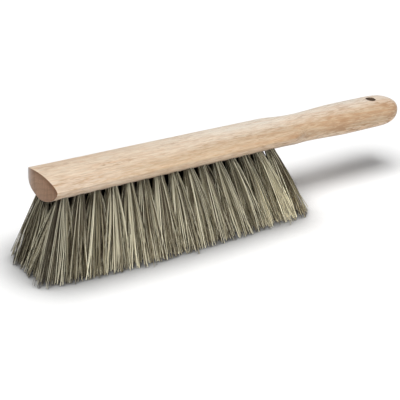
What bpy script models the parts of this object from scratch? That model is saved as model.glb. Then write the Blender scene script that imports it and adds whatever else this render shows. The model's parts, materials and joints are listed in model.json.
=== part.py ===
"""Masonry brush: a one-piece hardwood block with an integral handle, drilled and filled with tufts.

Units are metres. X runs along the brush towards the handle, Y across it, +Z up.
The origin is on the floor, in the middle of the brush's length, and the bristle tips stand on it.
"""
import math
import random

import bmesh
import bpy
from mathutils import Matrix, Vector

# Block: its section is a low crown over a deep belly, which meet at the widest line.
BLOCK_LENGTH = 0.2145
BLOCK_WIDTH = 0.0447
CROWN_HEIGHT = 0.0053
BELLY_DEPTH = 0.0139
CROWN_POWER = 2.0
BELLY_POWER = 1.6
EDGE_BREAK = 0.0008

# The sawn end's far corner is sanded round, seen from above.
END_CORNER_WIDTH = 0.0118
END_CORNER_DEPTH = 0.0046

# Handle, of one piece with the block: an oval that narrows to a neck and swells to a grip.
HANDLE_LENGTH = 0.138
HANDLE_DROP = 0.0030
HANDLE_POWER = 2.4
NECK_RUN = 0.025
NECK_WIDTH = 0.0306
NECK_THICKNESS = 0.0206
GRIP_RUN = 0.0514
GRIP_WIDTH = 0.0339
GRIP_THICKNESS = 0.0238
TIP_ROUNDING = 0.028
TIP_POWER = 2.9
TIP_LIFT = 0.0040

# Hanging hole, straight down through the handle.
HANGING_HOLE_DIAMETER = 0.0086
HANGING_HOLE_FROM_TIP = 0.0277

# Tuft holes: staggered rows drilled from below, each leaning the way its tuft leans.
ROW_COUNT = 4
LONG_ROW_TUFTS = 15
FIRST_TUFT_FROM_END = 0.0085
LAST_TUFT_FROM_NECK = 0.0184
OUTER_ROW_FROM_SIDE = 0.00805
TUFT_HOLE_DIAMETER = 0.0062
TUFT_HOLE_DEPTH = 0.0090

# Bristles: their length below the belly, and how far the tips reach past the block.
TRIM_LENGTH = 0.0524
END_REACH = 0.0130
NECK_END_REACH = 0.0177
SIDE_REACH_AT_ENDS = 0.0090
SIDE_REACH_AT_MIDDLE = 0.0135
TUFT_TIP_GAP = 0.0007
STRANDS_PER_TUFT = 8
STRAND_TIP_WIDTH = 0.0023
STRAND_TIP_DEPTH = 0.0020
INNER_STRAND_SHARE = 0.45
TIP_SCATTER = 0.05
SCATTER_SEED = 7

# Staple of square wire: its legs straddle the fold and bite past the bottom of the hole.
STAPLE_WIRE = 0.0009
STAPLE_FROM_HOLE_WALL = 0.0013
STAPLE_BITE = 0.0028
FOLD_ROUNDING = 0.0007

# Fits: the gap round what sits in a hole, and how far a tuft's strands start inside its mouth.
FIT_GAP = 0.0003
TUFT_SINK = 0.0010

# Mesh fineness, and how far a cutter starts outside the wood.
SECTION_SIDES = 36
EDGE_RINGS = 2
BLOCK_RINGS = 7
NECK_RINGS = 5
GRIP_RINGS = 8
TIP_RINGS = 8
HANGING_HOLE_SIDES = 24
CUT_OVERSHOOT = 0.004
SHARP_ANGLE = math.radians(35)

WOOD_COLOUR = (0.78, 0.60, 0.43, 1.0)
WOOD_ROUGHNESS = 0.55
BRISTLE_COLOUR = (0.30, 0.27, 0.19, 1.0)
BRISTLE_ROUGHNESS = 0.6

# Sizes that follow from the ones above.
WOOD_LENGTH = BLOCK_LENGTH + HANDLE_LENGTH
NECK_AT = BLOCK_LENGTH + NECK_RUN
GRIP_AT = NECK_AT + GRIP_RUN
HALF_WIDTH = BLOCK_WIDTH / 2
WIDEST_LINE = TRIM_LENGTH + BELLY_DEPTH
HANDLE_LINE = WIDEST_LINE - HANDLE_DROP
LAST_TUFT = BLOCK_LENGTH - LAST_TUFT_FROM_NECK
OUTER_ROW = HALF_WIDTH - OUTER_ROW_FROM_SIDE
TIP_SPAN = END_REACH + BLOCK_LENGTH + NECK_END_REACH
TUFT_TIP_DIAMETER = (TIP_SPAN + TUFT_TIP_GAP) / LONG_ROW_TUFTS - TUFT_TIP_GAP
STAPLE_WIDTH = TUFT_HOLE_DIAMETER - 2 * STAPLE_FROM_HOLE_WALL
FLAT_TO_CORNER = 1 / math.cos(math.pi / STRANDS_PER_TUFT)


def material(name, colour, roughness, metallic=0.0):
    """A plain Principled material."""
    made = bpy.data.materials.new(name)
    made.use_nodes = True
    shader = made.node_tree.nodes["Principled BSDF"]
    shader.inputs["Base Color"].default_value = colour
    shader.inputs["Roughness"].default_value = roughness
    shader.inputs["Metallic"].default_value = metallic
    return made


def add_object(name, bm, surface=None):
    """Turn a bmesh into a named object with outward faces."""
    bmesh.ops.recalc_face_normals(bm, faces=bm.faces)
    mesh = bpy.data.meshes.new(name)
    bm.to_mesh(mesh)
    bm.free()
    made = bpy.data.objects.new(name, mesh)
    bpy.context.scene.collection.objects.link(made)
    if surface:
        mesh.materials.append(surface)
    return made


def apply_boolean(target, tool, operation):
    """Cut or join with one tool object, keep the result and delete the tool."""
    tool.hide_render = True
    tool.display_type = "WIRE"
    modifier = target.modifiers.new("boolean", "BOOLEAN")
    modifier.operation = operation
    modifier.solver = "EXACT"
    modifier.object = tool
    graph = bpy.context.evaluated_depsgraph_get()
    result = bpy.data.meshes.new_from_object(target.evaluated_get(graph))
    target.modifiers.clear()
    target.data = result
    bpy.data.objects.remove(tool)


def smooth(start, end, x):
    """Smooth step from 0 at start to 1 at end."""
    t = min(1.0, max(0.0, (x - start) / (end - start)))
    return t * t * (3 - 2 * t)


def mix(a, b, share):
    return a + (b - a) * share


def circle(sides, radius, z):
    """Points of a polygon in the XY plane, with a flat side towards +X."""
    turns = [2 * math.pi * (k + 0.5) / sides for k in range(sides)]
    return [Vector((radius * math.cos(turn), radius * math.sin(turn), z)) for turn in turns]


def skin(bm, rings, closed_start=True, closed_end=True):
    """Join rings of vertices side by side and close the ends asked for."""
    count = len(rings[0])
    for a, b in zip(rings, rings[1:]):
        for k in range(count):
            n = (k + 1) % count
            bm.faces.new((a[k], a[n], b[n], b[k]))
    if closed_start:
        bm.faces.new(list(reversed(rings[0])))
    if closed_end:
        bm.faces.new(rings[-1])


def section(x):
    """The wood's section at x: half width, crown, belly, widest line and both powers."""
    to_neck = smooth(BLOCK_LENGTH, NECK_AT, x)
    to_grip = smooth(NECK_AT, GRIP_AT, x)
    half_thickness = mix(NECK_THICKNESS, GRIP_THICKNESS, to_grip) / 2
    half = mix(HALF_WIDTH, mix(NECK_WIDTH, GRIP_WIDTH, to_grip) / 2, to_neck)
    crown = mix(CROWN_HEIGHT, half_thickness, to_neck)
    belly = mix(BELLY_DEPTH, half_thickness, to_neck)
    line = mix(WIDEST_LINE, HANDLE_LINE, to_neck)
    crown_power = mix(CROWN_POWER, HANDLE_POWER, to_neck)
    belly_power = mix(BELLY_POWER, HANDLE_POWER, to_neck)
    return half, crown, belly, line, crown_power, belly_power


def underside(x, y):
    """Height of the block's belly at x, y."""
    half, _, belly, line, _, power = section(x)
    share = min(1.0, abs(y) / half)
    return line - belly * (1 - share ** power) ** (1 / power)


def corner_set_back(x, y):
    """How far the sanded far corner lies behind the flat of the sawn end."""
    share = min(1.0, max(0.0, (y - HALF_WIDTH + END_CORNER_WIDTH) / END_CORNER_WIDTH))
    near_end = max(0.0, 1 - x / END_CORNER_WIDTH)
    return END_CORNER_DEPTH * (1 - math.sqrt(1 - share ** 2)) * near_end


def section_ring(bm, x, scale, inset):
    """One ring of vertices round the wood: scale shrinks it at the tip, inset at the sawn edge."""
    half, crown, belly, line, crown_power, belly_power = section(x)
    middle = line + (crown - belly) / 2
    line = middle + (line - middle) * scale + TIP_LIFT * (1 - scale)
    ring = []
    for k in range(SECTION_SIDES):
        turn = 2 * math.pi * k / SECTION_SIDES
        c, s = math.cos(turn), math.sin(turn)
        power, reach = (crown_power, crown) if s >= 0 else (belly_power, belly)
        y = math.copysign(abs(c) ** (2 / power), c) * (half - inset) * scale
        z = line + math.copysign(abs(s) ** (2 / power), s) * (reach - inset) * scale
        ring.append(bm.verts.new((x + corner_set_back(x, y), y, z)))
    return ring


def wood_stations():
    """Place, scale and inset of each ring along the wood, from the sawn end to the tip."""
    stations = []
    for k in range(EDGE_RINGS + 1):
        turn = math.pi / 2 * k / EDGE_RINGS
        stations.append((EDGE_BREAK * (1 - math.cos(turn)), 1.0, EDGE_BREAK * (1 - math.sin(turn))))
    tip_start = WOOD_LENGTH - TIP_ROUNDING
    runs = (
        (EDGE_BREAK, BLOCK_LENGTH, BLOCK_RINGS),
        (BLOCK_LENGTH, NECK_AT, NECK_RINGS),
        (NECK_AT, tip_start, GRIP_RINGS),
    )
    for start, end, count in runs:
        stations += [(mix(start, end, k / count), 1.0, 0.0) for k in range(1, count + 1)]
    for k in range(1, TIP_RINGS + 1):
        turn = math.pi / 2 * k / (TIP_RINGS + 0.5)
        along = math.sin(turn) ** (2 / TIP_POWER)
        stations.append((tip_start + TIP_ROUNDING * along, math.cos(turn) ** (2 / TIP_POWER), 0.0))
    return stations


def close_sawn_end(bm, ring):
    """Upright strips across the sawn end, which bend round its far corner."""
    count = len(ring)
    for k in range(count // 2):
        corners = (ring[k], ring[k + 1], ring[count - k - 1], ring[(count - k) % count])
        strip = bm.faces.new(list(dict.fromkeys(corners)))
        bmesh.ops.triangulate(bm, faces=[strip])


def make_wood_blank(surface):
    """The block and handle before drilling."""
    bm = bmesh.new()
    rings = [section_ring(bm, *station) for station in wood_stations()]
    skin(bm, rings, closed_start=False, closed_end=False)
    close_sawn_end(bm, rings[0])
    last = rings[-1]
    pole = bm.verts.new((WOOD_LENGTH, 0, sum(v.co.z for v in last) / SECTION_SIDES))
    for k in range(SECTION_SIDES):
        bm.faces.new((last[k], last[(k + 1) % SECTION_SIDES], pole))
    return add_object("wood_block_with_handle", bm, surface)


def add_prism(bm, corners, low, high, place):
    """A closed prism along the place's Z, from corner points in its XY plane."""
    rings = [[bm.verts.new(place @ Vector((p.x, p.y, z))) for p in corners] for z in (low, high)]
    skin(bm, rings)


def leg_outlines(grow):
    """Square outlines of the staple's two legs, or of their sockets when grown."""
    half = STAPLE_WIRE / 2 + grow
    outlines = []
    for side in (-1, 1):
        middle = side * (STAPLE_WIDTH - STAPLE_WIRE) / 2
        corners = ((-half, -half), (half, -half), (half, half), (-half, half))
        outlines.append([Vector((middle + u, v, 0)) for u, v in corners])
    return outlines


def tuft_places():
    """Name, mouth frame and tip point of every tuft, row by row.

    A frame's origin is the middle of the hole's mouth and its Z runs up the hole.
    """
    places = []
    pitch = (LAST_TUFT - FIRST_TUFT_FROM_END) / (LONG_ROW_TUFTS - 1)
    tip_radius = TUFT_TIP_DIAMETER / 2
    first_tip = tip_radius - END_REACH
    last_tip = BLOCK_LENGTH + NECK_END_REACH - tip_radius
    for row in range(ROW_COUNT):
        short = row % 2
        across_share = 2 * row / (ROW_COUNT - 1) - 1
        for k in range(LONG_ROW_TUFTS - short):
            x = FIRST_TUFT_FROM_END + pitch * (k + short / 2)
            y = OUTER_ROW * across_share
            share = (x - FIRST_TUFT_FROM_END) / (LAST_TUFT - FIRST_TUFT_FROM_END)
            bulge = 1 - (2 * share - 1) ** 2
            side_reach = mix(SIDE_REACH_AT_ENDS, SIDE_REACH_AT_MIDDLE, bulge)
            tip_y = (HALF_WIDTH + side_reach - tip_radius) * across_share
            tip = Vector((mix(first_tip, last_tip, share), tip_y, 0))
            mouth = Vector((x, y, underside(x, y)))
            up = (mouth - tip).normalized()
            along = (Vector((1, 0, 0)) - up * up.x).normalized()
            frame = Matrix((along, up.cross(along), up)).transposed().to_4x4()
            frame.translation = mouth
            places.append((f"tuft_row{row + 1}_{k + 1:02d}", frame, tip))
    return places


def drill(wood, places):
    """Cut the blind tuft holes, their staple sockets and the hanging hole."""
    hole = circle(STRANDS_PER_TUFT, TUFT_HOLE_DIAMETER / 2 * FLAT_TO_CORNER, 0)
    bm = bmesh.new()
    for _, frame, _ in places:
        add_prism(bm, hole, -CUT_OVERSHOOT, TUFT_HOLE_DEPTH, frame)
    apply_boolean(wood, add_object("tuft_hole_cutter", bm), "DIFFERENCE")
    bm = bmesh.new()
    for _, frame, _ in places:
        for outline in leg_outlines(FIT_GAP):
            add_prism(bm, outline, TUFT_HOLE_DEPTH - FIT_GAP, TUFT_HOLE_DEPTH + STAPLE_BITE, frame)
    apply_boolean(wood, add_object("staple_socket_cutter", bm), "DIFFERENCE")
    bm = bmesh.new()
    rim = circle(HANGING_HOLE_SIDES, HANGING_HOLE_DIAMETER / 2, 0)
    place = Matrix.Translation((WOOD_LENGTH - HANGING_HOLE_FROM_TIP, 0, HANDLE_LINE))
    add_prism(bm, rim, -GRIP_THICKNESS, GRIP_THICKNESS, place)
    apply_boolean(wood, add_object("hanging_hole_cutter", bm), "DIFFERENCE")


def make_root():
    """The folded end of a tuft with its staple, in the hole's own frame, open at its lower face."""
    radius = (TUFT_HOLE_DIAMETER / 2 - FIT_GAP) * FLAT_TO_CORNER
    top = TUFT_HOLE_DEPTH - FIT_GAP
    bm = bmesh.new()
    levels = ((TUFT_SINK, radius), (top - FOLD_ROUNDING, radius), (top, radius - FOLD_ROUNDING))
    rings = [[bm.verts.new(p) for p in circle(STRANDS_PER_TUFT, r, z)] for z, r in levels]
    skin(bm, rings)
    root = add_object("tuft_root", bm)
    bm = bmesh.new()
    for outline in leg_outlines(0):
        add_prism(bm, outline, top - FOLD_ROUNDING, TUFT_HOLE_DEPTH + STAPLE_BITE - FIT_GAP, Matrix())
    apply_boolean(root, add_object("staple_legs", bm), "UNION")
    bm = bmesh.new()
    bm.from_mesh(root.data)
    lower = [face for face in bm.faces if all(abs(v.co.z - TUFT_SINK) < FIT_GAP / 2 for v in face.verts)]
    bmesh.ops.delete(bm, geom=lower, context="FACES_ONLY")
    bm.to_mesh(root.data)
    bm.free()
    return root


def strand_tip(k, length, scatter):
    """Three points of strand k's tip in the tuft's frame, inside the strand's own sector."""
    outer = math.hypot(TUFT_TIP_DIAMETER / 2, STRAND_TIP_WIDTH / 2) - STRAND_TIP_WIDTH / 2
    reach = outer if k % 2 else outer * INNER_STRAND_SHARE + STRAND_TIP_DEPTH / 2
    reach *= 1 - scatter.random() * TIP_SCATTER
    turn = 2 * math.pi * (k + 1) / STRANDS_PER_TUFT + (scatter.random() - 0.5) * TIP_SCATTER
    out = Vector((math.cos(turn), math.sin(turn), 0))
    side = Vector((-out.y, out.x, 0)) * STRAND_TIP_WIDTH / 2
    foot = Vector((0, 0, -length))
    return [foot + out * (reach - STRAND_TIP_DEPTH), foot + out * reach - side, foot + out * reach + side]


def to_floor(start, end):
    """Carry the line from start through end on to the floor."""
    return start.lerp(end, start.z / (start.z - end.z))


def make_tuft(name, frame, tip, root, scatter, surface):
    """One tuft as a single body: its root and staple in the hole, and its strands to the floor."""
    length = (frame.translation - tip).length
    bm = bmesh.new()
    bm.from_mesh(root.data)
    rim = [v for v in bm.verts if v.is_boundary]
    rim.sort(key=lambda v: math.atan2(v.co.y, v.co.x) % (2 * math.pi))
    middle = bm.verts.new((0, 0, TUFT_SINK))
    tips = [strand_tip(k, length, scatter) for k in range(STRANDS_PER_TUFT)]
    bm.transform(frame)
    for k, points in enumerate(tips):
        base = [middle, rim[k], rim[(k + 1) % STRANDS_PER_TUFT]]
        end = [bm.verts.new(to_floor(b.co, frame @ point)) for b, point in zip(base, points)]
        skin(bm, [base, end], closed_start=False)
    return add_object(name, bm, surface)


def centre_on_floor(objects):
    """Put the origin under the middle of the brush's length."""
    ends = [v.co.x for obj in objects for v in obj.data.vertices]
    shift = Matrix.Translation((-(min(ends) + max(ends)) / 2, 0, 0))
    for obj in objects:
        obj.data.transform(shift)


def build():
    for obj in list(bpy.data.objects):
        bpy.data.objects.remove(obj)
    scatter = random.Random(SCATTER_SEED)
    wood_surface = material("pale_hardwood", WOOD_COLOUR, WOOD_ROUGHNESS)
    bristle_surface = material("olive_grey_bristle", BRISTLE_COLOUR, BRISTLE_ROUGHNESS)
    places = tuft_places()
    wood = make_wood_blank(wood_surface)
    drill(wood, places)
    root = make_root()
    tufts = [make_tuft(*place, root, scatter, bristle_surface) for place in places]
    bpy.data.objects.remove(root)
    centre_on_floor([wood] + tufts)
    wood.data.shade_smooth()
    wood.data.set_sharp_from_angle(angle=SHARP_ANGLE)


build()
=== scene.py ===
"""Masonry brush: a hardwood block with its handle, and rows of stiff fanned bristles.

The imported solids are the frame. Each Operator here makes one group of pieces in their
place: the wood, the bristles and the stage that they are seen on. Units are metres,
+Z is up and +X runs to the handle.
"""

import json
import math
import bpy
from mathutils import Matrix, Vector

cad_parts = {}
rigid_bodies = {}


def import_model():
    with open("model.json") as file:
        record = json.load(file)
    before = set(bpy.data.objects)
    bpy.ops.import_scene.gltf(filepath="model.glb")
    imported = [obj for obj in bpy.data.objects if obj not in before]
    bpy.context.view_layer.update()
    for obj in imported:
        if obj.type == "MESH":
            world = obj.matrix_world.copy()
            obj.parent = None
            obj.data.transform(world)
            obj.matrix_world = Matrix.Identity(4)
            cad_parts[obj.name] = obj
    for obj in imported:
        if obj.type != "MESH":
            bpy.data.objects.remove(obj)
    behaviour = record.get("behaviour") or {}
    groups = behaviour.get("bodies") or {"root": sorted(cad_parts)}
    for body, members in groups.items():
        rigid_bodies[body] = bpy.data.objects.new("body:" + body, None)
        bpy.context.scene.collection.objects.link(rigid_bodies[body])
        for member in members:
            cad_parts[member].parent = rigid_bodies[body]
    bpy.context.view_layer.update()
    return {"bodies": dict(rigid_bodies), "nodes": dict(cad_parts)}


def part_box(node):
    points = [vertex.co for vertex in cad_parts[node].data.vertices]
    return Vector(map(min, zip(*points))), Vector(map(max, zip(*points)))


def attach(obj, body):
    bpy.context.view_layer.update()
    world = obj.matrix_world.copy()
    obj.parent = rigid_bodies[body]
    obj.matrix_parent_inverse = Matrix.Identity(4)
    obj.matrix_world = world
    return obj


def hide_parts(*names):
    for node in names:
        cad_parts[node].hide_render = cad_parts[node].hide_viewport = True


bl_info = {
    "name": "Masonry Brush",
    "version": (1, 0, 0),
    "blender": (4, 5, 0),
    "location": "View3D > Sidebar > Masonry Brush",
    "description": "Dresses a masonry brush's solids with grain and real bristles",
    "category": "Object",
}

from types import SimpleNamespace

import bmesh
import bpy
from bpy.props import FloatProperty, FloatVectorProperty, IntProperty, PointerProperty
from mathutils import Matrix, Vector, noise

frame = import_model()

WOOD_NODE = "wood_block_with_handle"
WOOD_LOW, WOOD_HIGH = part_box(WOOD_NODE)
TUFT_NODES = sorted(name for name in frame["nodes"] if name.startswith("tuft_row"))
BODY = next(iter(frame["bodies"]))

# How high the end of a tuft's staple, its topmost point, lies above its hole's mouth.
STAPLE_END_ABOVE_MOUTH = 0.0115


def length(description, default):
    """A settable length in metres."""
    return FloatProperty(
        description=description,
        default=default,
        min=0.0,
        precision=5,
        subtype="DISTANCE",
        unit="LENGTH",
    )


def share(description, default, high=1.0):
    """A settable number without a unit."""
    return FloatProperty(description=description, default=default, min=0.0, max=high)


def angle(description, degrees):
    """A settable angle, given in degrees."""
    return FloatProperty(
        description=description, default=math.radians(degrees), subtype="ANGLE"
    )


def whole(description, default, high):
    """A settable whole number above 0."""
    return IntProperty(description=description, default=default, min=1, max=high)


def colour(description, default):
    """A settable colour, in linear values."""
    return FloatVectorProperty(
        description=description, default=default, min=0.0, max=1.0, subtype="COLOR"
    )


def arrow(description, default, subtype="DIRECTION", unit="NONE"):
    """A settable direction, or an offset in metres."""
    return FloatVectorProperty(
        description=description, default=default, subtype=subtype, unit=unit
    )


def named(group):
    """Name each setting of a group after its key."""
    for key, setting in group.__annotations__.items():
        setting.keywords["name"] = key.replace("_", " ").capitalize()
    return group


@named
class WoodSettings(bpy.types.PropertyGroup):
    """Sizes and finish of the block and its handle."""

    wood_length: length("From the sawn end to the handle's tip", WOOD_HIGH.x - WOOD_LOW.x)
    block_length: length("The part that holds tufts", 0.2145)
    block_width: length("At the widest line", WOOD_HIGH.y - WOOD_LOW.y)
    widest_line: length("Its height above the floor", 0.0663)
    crown_height: length("From the widest line up to the block's top", 0.0053)
    belly_depth: length("From the widest line down to the block's underside", 0.0139)
    crown_power: share("2 is an ellipse", 2.0, 6.0)
    belly_power: share("2 is an ellipse", 1.6, 6.0)
    end_edge: length("Radius of the sanded edge of the sawn end", 0.0008)
    corner_width: length("How far the end's sanded far corner reaches across", 0.0118)
    corner_depth: length("How far the end's sanded far corner is set back", 0.0046)
    handle_line: length(
        "Height of the handle's middle above the floor", (WOOD_LOW.z + WOOD_HIGH.z) / 2
    )
    neck_run: length("From the block to the handle's waist", 0.025)
    neck_width: length("The handle's least width", 0.0306)
    neck_thickness: length("The handle's least thickness", 0.0206)
    grip_run: length("From the waist to the full grip", 0.0514)
    grip_width: length("The handle's greatest width", 0.0339)
    grip_thickness: length("The handle's greatest thickness", WOOD_HIGH.z - WOOD_LOW.z)
    handle_power: share("2 is an ellipse", 2.4, 6.0)
    tip_rounding: length("Length of the rounded end", 0.028)
    tip_power: share("2 is an ellipse", 2.9, 6.0)
    tip_lift: length("How far the tip's point rises", 0.0040)
    hole_diameter: length("Diameter of the hole through the handle", 0.0086)
    hole_from_tip: length("From the tip to the middle of the hole", 0.0277)
    hole_edge: length("Width of the sanded edge of the hanging hole", 0.0005)
    tuft_hole_diameter: length("Diameter of a drilled tuft hole", 0.0062)
    tuft_hole_depth: length("Depth of a drilled tuft hole", 0.0090)
    hand_sanding: length("How far the sanded surface wanders", 0.00012)
    ring_spacing: length("Between two growth rings", 0.0036)
    fleck_length: length("Length of a fleck in the grain", 0.0085)
    fleck_width: length("Width of a fleck in the grain", 0.0011)
    pore_length: length("Length of an open pore's dash", 0.0075)
    pore_width: length("Width of an open pore's dash", 0.00042)
    cream: colour("Palest wood", (0.815, 0.685, 0.533))
    tan: colour("Darker growth", (0.66, 0.45, 0.29))
    pore_brown: colour("Inside the pores", (0.40, 0.24, 0.13))
    # Darker than end grain alone: it also holds painted shade.
    end_grain: colour("Face sawn across the grain", (0.236, 0.132, 0.075))


@named
class BristleSettings(bpy.types.PropertyGroup):
    """Sizes and finish of the bristles. The tree takes each size by its name here."""

    clumps_per_tuft: whole("Clumps that a tuft's bristles cling in", 76, 200)
    bristles_per_clump: whole("Bristle ends in one clump", 3, 40)
    width: length("Thickness of a bristle", 0.00063)
    tip_taper: share("Share of the thickness that the tip keeps", 0.70)
    root_radius: length("Radius of the bundle in its hole", 0.0031)
    clump_root: length("Radius of one clump in the hole", 0.0007)
    clump_tip: length("Radius of one clump at the tips", 0.0010)
    sunk: length("How far inside the hole a bristle starts", 0.0030)
    tip_radius: length("Radius that a tuft fans out to", 0.0105)
    row_stretch: share("How much more it fans along the row", 1.22, 3.0)
    wander: share("How far a clump strays, in tip radii", 0.40, 3.0)
    clump_bend: length("How far a clump bows off a straight line", 0.0022)
    bend: length("How far a bristle bows on its own", 0.0012)
    flare: share("Below 1 a tuft leans out faster near its hole", 0.90)
    gather: share("Below 1 a tuft widens faster near its hole", 0.96, 4.0)
    trim_spread: length("How unevenly the tips are trimmed", 0.0026)
    stray_share: share("Share of bristles that cross the others", 0.16)
    stray_reach: share("How far strays lean, in tip radii", 0.35, 3.0)
    seed: IntProperty(description="Sets every random choice", default=11)
    dark: colour("Darkest bristles", (0.055, 0.036, 0.018))
    olive: colour("Most bristles", (0.35, 0.305, 0.195))
    straw: colour("Palest bristles", (0.77, 0.72, 0.54))


@named
class StageSettings(bpy.types.PropertyGroup):
    """The floor, the light and the camera."""

    floor_size: length("Side of the square floor", 6.0)
    floor_albedo: share("Light that the floor gives the brush", 0.80)
    floor_glow: share("White that only the eye sees", 0.02)
    contact_reach: length("How far the contact shade spreads", 0.036)
    contact_depth: share("Strength of the contact shade", 2.3, 8.0)
    contact_least: share("White left where the shade is deepest", 0.15)
    world_level: share("Even light from all round", 0.05, 4.0)
    key_level: share("Light on a surface that faces the lamp", 1.13, 4.0)
    key_softness: angle("How wide the lamp looks from the brush", 34)
    key_direction: arrow("From the brush towards the key lamp", (-0.60, -0.32, 1.0))
    fill_level: share("Light on a surface that faces the lamp", 0.40, 4.0)
    fill_softness: angle("How wide the lamp looks from the brush", 50)
    fill_direction: arrow("From the brush towards the fill lamp", (0.15, -0.97, 0.08))
    lens: FloatProperty(description="Focal length in millimetres", default=87.42, min=1.0)
    down_tilt: angle("How far the camera looks down", 25.51)
    heading: angle("How far the camera turns off the brush's side", 40.17)
    roll: angle("How far the camera is rolled", 5.25)
    camera_place: arrow(
        "From the middle of the sawn end's widest line",
        (-0.3000, -0.5241, 0.2807),
        subtype="TRANSLATION",
        unit="LENGTH",
    )


class BrushSettings(bpy.types.PropertyGroup):
    """Everything that can be set."""

    wood: PointerProperty(type=WoodSettings)
    bristles: PointerProperty(type=BristleSettings)
    stage: PointerProperty(type=StageSettings)


class NodeMaker:
    """Adds nodes to one tree and links them as they are added."""

    def __init__(self, tree):
        self.tree = tree

    def add(self, kind, inputs=None, **settings):
        """A new node: inputs holds values or sockets by name or index."""
        node = self.tree.nodes.new(kind)
        for name, value in settings.items():
            setattr(node, name, value)
        for key, value in (inputs or {}).items():
            self.feed(node.inputs[key], value)
        return node

    def feed(self, socket, value):
        """Link a socket or a node's first one, or set a value, a colour's without alpha."""
        if isinstance(value, bpy.types.Node):
            value = value.outputs[0]
        if isinstance(value, bpy.types.NodeSocket):
            self.tree.links.new(value, socket)
        elif socket.type == "RGBA":
            socket.default_value = (*value, 1.0)
        else:
            socket.default_value = value

    def geometry(self, kind, inputs=None, **settings):
        """A new geometry node, by the part of its name that tells it apart."""
        return self.add(f"GeometryNode{kind}", inputs, **settings)

    def math(self, operation, *values, clamp=False):
        """Arithmetic on up to three values."""
        node = self.add("ShaderNodeMath", dict(enumerate(values)), operation=operation)
        node.use_clamp = clamp
        return node.outputs[0]

    def product(self, *factors, clamp=False):
        """Numbers multiplied by each other."""
        *most, last = factors
        most = self.product(*most) if len(most) > 1 else most[0]
        return self.math("MULTIPLY", most, last, clamp=clamp)

    def total(self, *terms, clamp=False):
        """Numbers added up."""
        *most, last = terms
        most = self.total(*most) if len(most) > 1 else most[0]
        return self.math("ADD", most, last, clamp=clamp)

    def vector(self, operation, *values):
        """Arithmetic on vectors."""
        inputs = dict(enumerate(values))
        if operation == "SCALE":
            inputs["Scale"] = inputs.pop(1)
        node = self.add("ShaderNodeVectorMath", inputs, operation=operation)
        return next(s for s in node.outputs if s.enabled)

    def blend(self, factor, a, b, kind="RGBA", mode="MIX"):
        """A mix of two colours, vectors or numbers."""
        node = self.add("ShaderNodeMix", data_type=kind)
        if kind == "RGBA":
            node.blend_type = mode
        sockets = {s.name: s for s in node.inputs if s.enabled}
        self.feed(sockets["Factor"], factor)
        self.feed(sockets["A"], a)
        self.feed(sockets["B"], b)
        return next(s for s in node.outputs if s.enabled)

    def tinted(self, colour, by):
        """One colour multiplied by another."""
        return self.blend(1.0, colour, by, mode="MULTIPLY")

    def ramp(self, value, *stops, smooth=False):
        """A colour ramp: each stop is a place and a colour or grey level."""
        node = self.add("ShaderNodeValToRGB", {"Fac": value})
        elements = node.color_ramp.elements
        while len(elements) < len(stops):
            elements.new(1.0)
        for element, (place, shade) in zip(elements, stops):
            element.position = place
            rgb = (shade,) * 3 if isinstance(shade, float) else tuple(shade)
            element.color = (*rgb, 1.0)
        if smooth:
            node.color_ramp.interpolation = "EASE"
        return node.outputs["Color"]

    def fade(self, value, start, end, low=0.0, high=1.0, shift=0.0, smooth=False):
        """low up to start and high from end on.

        A ramp has no place below 0, so shift moves a value up to reach one.
        """
        if shift:
            value = self.total(value, shift)
        stops = (start + shift, low), (end + shift, high)
        return self.ramp(value, *stops, smooth=smooth)

    def mapped(self, place, **inputs):
        """A place moved, turned or scaled."""
        return self.add("ShaderNodeMapping", {"Vector": place, **inputs})

    def noise(self, place, scale=1.0, **inputs):
        """Noise from 0 to 1, with so many cells to the metre."""
        inputs = {"Vector": place, "Scale": scale, **inputs}
        return self.add("ShaderNodeTexNoise", inputs).outputs["Fac"]

    def grain(self, place, along, across, **inputs):
        """Noise with so many cells to the metre along and across the wood."""
        return self.noise(self.mapped(place, Scale=(along, across, across)), **inputs)


def plain_material(name):
    """A material with an empty tree, its node maker and its shader."""
    made = bpy.data.materials.new(name)
    made.use_nodes = True
    shader = made.node_tree.nodes["Principled BSDF"]
    return made, NodeMaker(made.node_tree), shader


def add_piece(name, mesh):
    """A new object at the origin that holds a mesh."""
    piece = bpy.data.objects.new(name, mesh)
    bpy.context.scene.collection.objects.link(piece)
    return piece


def finish_piece(piece, nodes):
    """Attach a piece to the brush's body and hide the solids that it stands for."""
    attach(piece, BODY)
    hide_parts(*nodes)


def smooth_step(start, end, x):
    """0 at start, 1 at end, with no corner between."""
    t = min(1.0, max(0.0, (x - start) / (end - start)))
    return t * t * (3 - 2 * t)


def mix(a, b, part):
    """The value that lies part of the way from a to b."""
    return a + (b - a) * part


# Wood


SECTION_SIDES = 112
BLOCK_RINGS = 60
NECK_RINGS = 18
GRIP_RINGS = 24
TIP_RINGS = 20
EDGE_RINGS = 5
TUFT_HOLE_SIDES = 14
HANGING_HOLE_SIDES = 48
CUT_OVERSHOOT = 0.004
# The hanging hole's cutter from its straight wall out: how far it widens and how far
# that lies past the wood's face, both in widths of the sanded edge.
EASED_EDGE = ((0.0, -1.4), (0.08, -0.7), (0.35, -0.2), (1.0, 0.2), (4.0, 1.5))
# Sanding: its waves to the metre, how far in the sawn end stays flat, and how much it
# takes off on the whole.
SANDING_ALONG = 28
SANDING_ACROSS = 70
FLAT_END = 0.006
SANDED_OFF = 0.6
# How thick a slice of a tuft's solid is taken as its tips and as its staple's end.
TIP_SLICE = 0.0002
STAPLE_SLICE = 0.0012


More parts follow.
